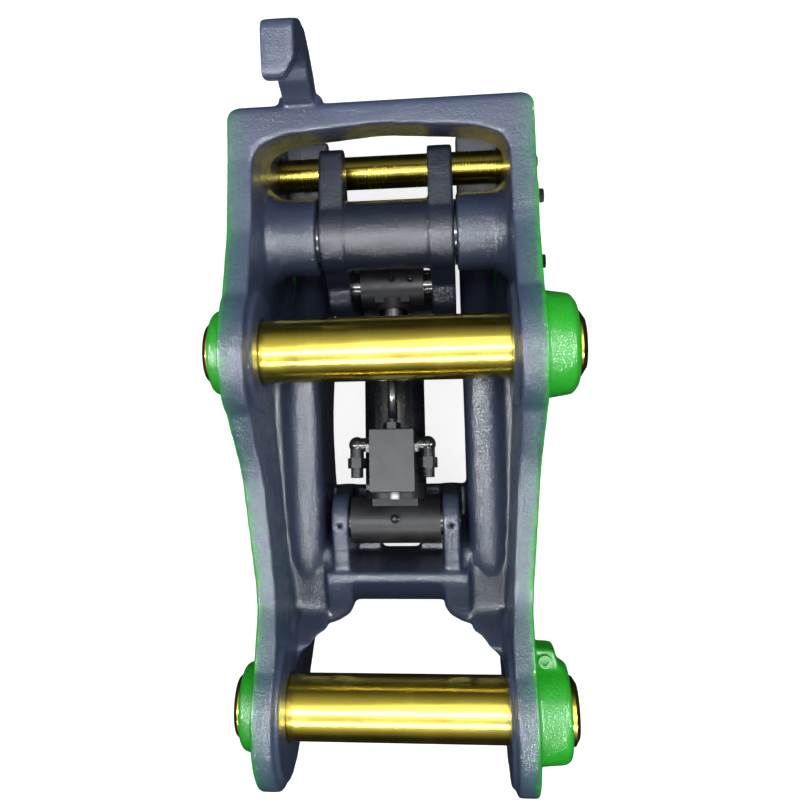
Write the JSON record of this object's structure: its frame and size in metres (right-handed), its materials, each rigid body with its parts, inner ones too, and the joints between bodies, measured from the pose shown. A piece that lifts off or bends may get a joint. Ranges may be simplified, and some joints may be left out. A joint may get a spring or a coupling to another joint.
{
  "type": "quick coupler",
  "caption": "Cast twin-cheek quick coupler with two cross pins, a fixed front jaw, a moving rear hook driven by a small hydraulic cylinder and a lifting hook.",
  "frame": {"origin": "stick pin axis at mid-width", "axes": "+X along the two machine pins, +Y from the stick pin to the link pin and on to the rear crossbar and the lifting hook, +Z towards the machine; the attachment jaws are on the -Z side"},
  "size_m": [0.462, 0.9338, 0.497],
  "materials": {
    "casting_paint": "gloss paint over cast steel, bright green on the outer sides",
    "hook_paint": "dark slate gloss paint over cast steel",
    "yellow_zinc": "ground steel with yellow zinc plating",
    "machined_steel": "turned steel",
    "zinc_fasteners": "zinc plated steel",
    "cylinder_black": "black gloss paint",
    "valve_black": "matt black phosphate",
    "fitting_black": "black plated steel",
    "bush_bronze": "bearing bronze",
    "seal_rubber": "polyurethane and rubber seals",
    "rod_chrome": "hard chrome"
  },
  "bodies": {
    "frame": {"right_side_casting": "casting_paint", "left_side_casting": "casting_paint", "rear_crossbar": "casting_paint", "lifting_hook": "casting_paint", "centre_saddle": "casting_paint", "link_pin": "yellow_zinc", "stick_pin": "yellow_zinc", "pin_lock_bolts": "zinc_fasteners", "boss_lug_screw": "zinc_fasteners", "hook_pivot_pin": "machined_steel", "pivot_keeper_plate": "hook_paint", "pivot_keeper_bolts": "zinc_fasteners", "thrust_washers": "machined_steel", "pivot_grease_nipple": "zinc_fasteners", "stop_pin": "yellow_zinc", "stop_pin_bolts": "zinc_fasteners", "cylinder_base_pin": "machined_steel", "base_pin_spring_pins": "machined_steel"},
    "hook": {"moving_hook": "hook_paint", "hook_bushes": "bush_bronze"},
    "cylinder": {"cylinder_base_eye": "cylinder_black", "base_eye_bushes": "bush_bronze", "base_eye_grease_nipple": "zinc_fasteners", "cylinder_barrel": "cylinder_black", "valve_block": "valve_black", "valve_block_screws": "zinc_fasteners", "screw_hole_plugs": "seal_rubber", "check_valve_cartridge": "fitting_black", "valve_side_plug": "fitting_black", "elbow_fitting_right": "fitting_black", "elbow_fitting_left": "fitting_black", "gland_nut": "cylinder_black", "rod_wiper": "seal_rubber"},
    "rod": {"piston_rod": "rod_chrome", "piston": "machined_steel", "piston_seal": "seal_rubber", "piston_nut": "zinc_fasteners", "rod_eye": "cylinder_black", "rod_eye_bush": "bush_bronze", "rod_eye_grease_nipple": "zinc_fasteners", "rod_pin": "machined_steel", "rod_pin_set_screw": "zinc_fasteners"}
  },
  "joints": [
    {"name": "hook_swing", "type": "hinge", "parent": "frame", "child": "hook", "pos_m": [0, 0.595, -0.11], "axis": [1, 0, 0], "range_deg": [-24, 0]},
    {"name": "cylinder_swing", "type": "hinge", "parent": "frame", "child": "cylinder", "pos_m": [0, 0.213, -0.09], "axis": [1, 0, 0], "range_deg": [0, 4.95]},
    {"name": "rod_extend", "type": "slide", "parent": "cylinder", "child": "rod", "axis": [0, 0.9627, -0.2707], "range_m": [-0.0302, 0]}
  ],
  "couplings": [
    {"joint": "cylinder_swing", "follows": "hook_swing", "ratio": -0.2041},
    {"joint": "rod_extend", "follows": "hook_swing", "m_per_rad": 0.0717}
  ]
}
